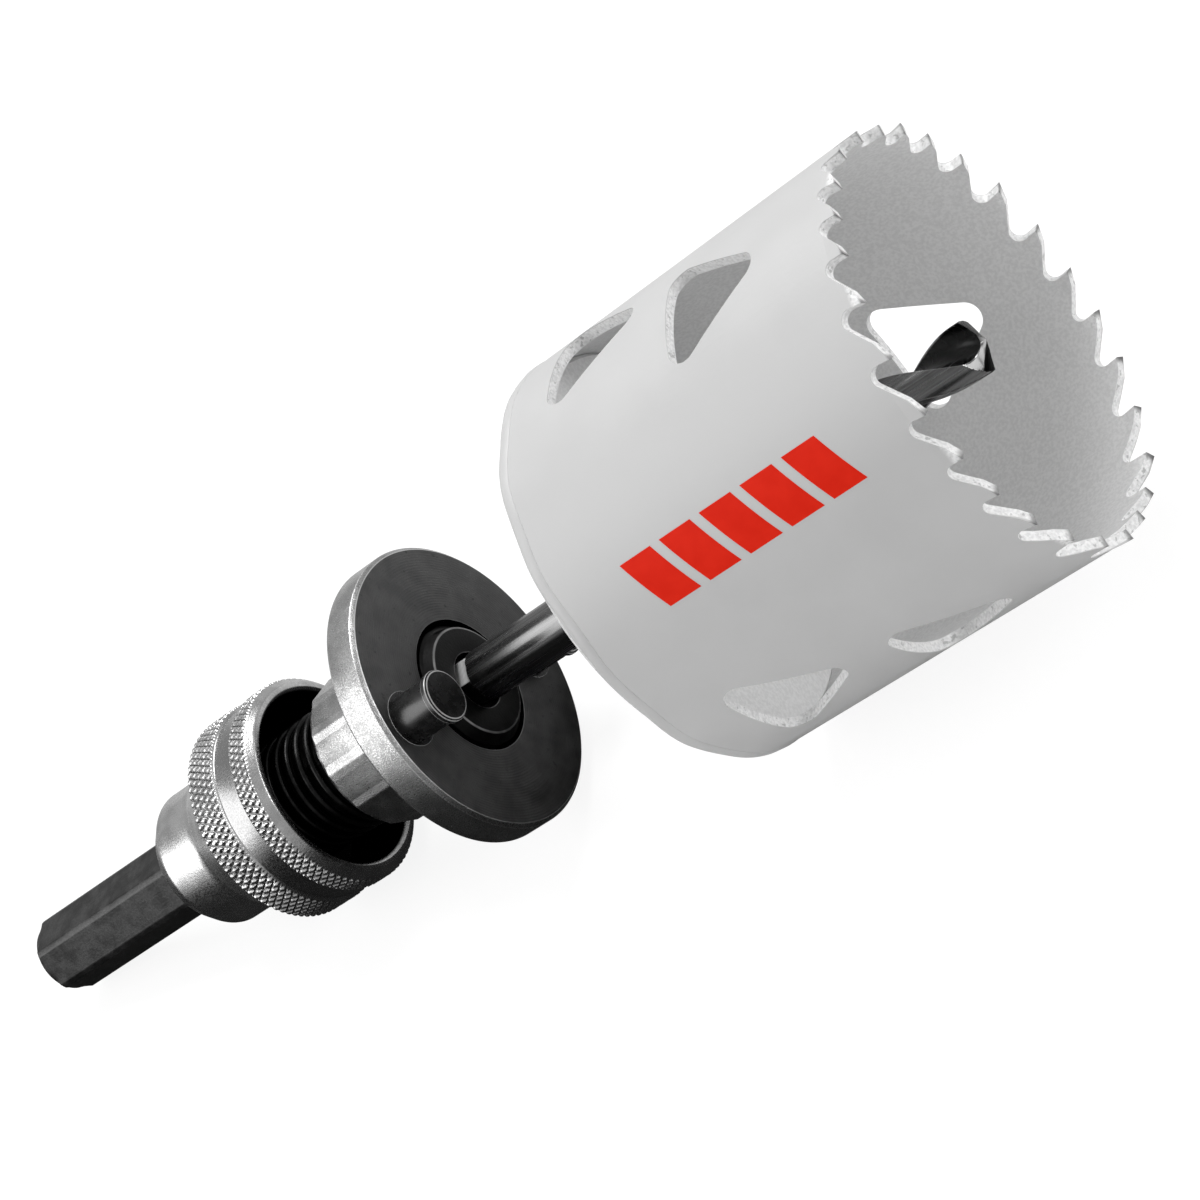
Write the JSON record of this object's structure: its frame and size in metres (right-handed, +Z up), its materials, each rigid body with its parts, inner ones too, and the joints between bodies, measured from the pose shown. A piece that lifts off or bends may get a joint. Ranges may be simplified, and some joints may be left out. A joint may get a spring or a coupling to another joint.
{
  "type": "hole saw",
  "caption": "Hole saw on a quick-release arbor: toothed cup with windows drawn forward on a twist pilot drill, sprung drive plate with pins, knurled collar and hex shank.",
  "frame": {"origin": "centre of the bounding box, at its bottom, on the surface that the tool lies on", "axes": "+X along the tool, from the shank to the teeth, with the tool's own axis leaning up 10.5 degrees from it; +Z up"},
  "size_m": [0.1622, 0.0508, 0.0596],
  "materials": {
    "saw_paint": "satin grey enamel",
    "bright_plate": "turned and zinc plated",
    "dark_steel": "black oxide",
    "drill_steel": "ground, dark",
    "spring_steel": "bright wire"
  },
  "bodies": {
    "arbor": {"arbor_body": "dark_steel", "pilot_drill": "drill_steel", "drill_set_screw": "dark_steel", "knurled_collar": "bright_plate", "retaining_ring": "spring_steel", "main_spring": "spring_steel"},
    "drive": {"drive_plate": "bright_plate", "drive_pin_1": "dark_steel", "drive_pin_2": "dark_steel"},
    "saw": {"saw_tube": "saw_paint", "saw_back_plate": "saw_paint"}
  },
  "joints": [
    {"name": "plate_slide", "type": "slide", "parent": "arbor", "child": "drive", "axis": [-0.9832, 0, -0.1823], "range_m": [0, 0.0065], "stiffness_N_per_m": 330, "springref_m": -0.012, "deforming": ["main_spring"]},
    {"name": "saw_slide", "type": "slide", "parent": "arbor", "child": "saw", "axis": [0.9832, 0, 0.1823], "range_m": [-0.0302, 0.047]}
  ]
}
